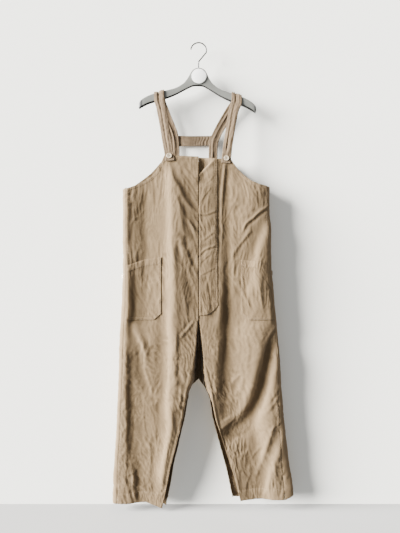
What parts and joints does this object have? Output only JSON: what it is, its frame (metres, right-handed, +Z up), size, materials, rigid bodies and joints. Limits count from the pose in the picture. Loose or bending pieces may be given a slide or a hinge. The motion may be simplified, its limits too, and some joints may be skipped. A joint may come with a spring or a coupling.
{
  "type": "chino overalls on a hanger",
  "caption": "Chino overalls with a bib, buttoned shoulder straps, a concealed fly, patch pockets and cropped legs, hanging open and empty from a moulded coat hanger with a wire hook.",
  "frame": {"origin": "inner top of the hanger's hook, where a rail, nail or pin carries the part", "axes": "+Z up; -Y out of the front of the bib; +X to the right of someone who looks at the front, which is the wearer's left"},
  "size_m": [0.6627, 0.1041, 1.7142],
  "materials": {
    "twill": "matt khaki-beige cotton chino twill, crumpled from washing",
    "button": "semi-gloss horn-coloured four-hole button",
    "hanger_grey": "satin mid-grey moulded plastic",
    "disc_white": "satin white plastic, plain",
    "chrome": "bright plated steel wire"
  },
  "bodies": {
    "root": {"front_right": "twill", "front_right_thigh": "twill", "front_right_shin": "twill", "front_left": "twill", "front_left_thigh": "twill", "front_left_shin": "twill", "back_right": "twill", "back_right_thigh": "twill", "back_right_shin": "twill", "back_left": "twill", "back_left_thigh": "twill", "back_left_shin": "twill", "pocket_right": "twill", "pocket_left": "twill", "fly_placket": "twill", "fly_underlap": "twill", "strap_right": "twill", "strap_left": "twill", "crosspiece": "twill", "bib_button_right": "button", "bib_button_left": "button", "side_button_right": "button", "side_button_left": "button", "hanger_body": "hanger_grey", "hanger_disc": "disc_white", "hanger_hook": "chrome"}
  },
  "joints": []
}
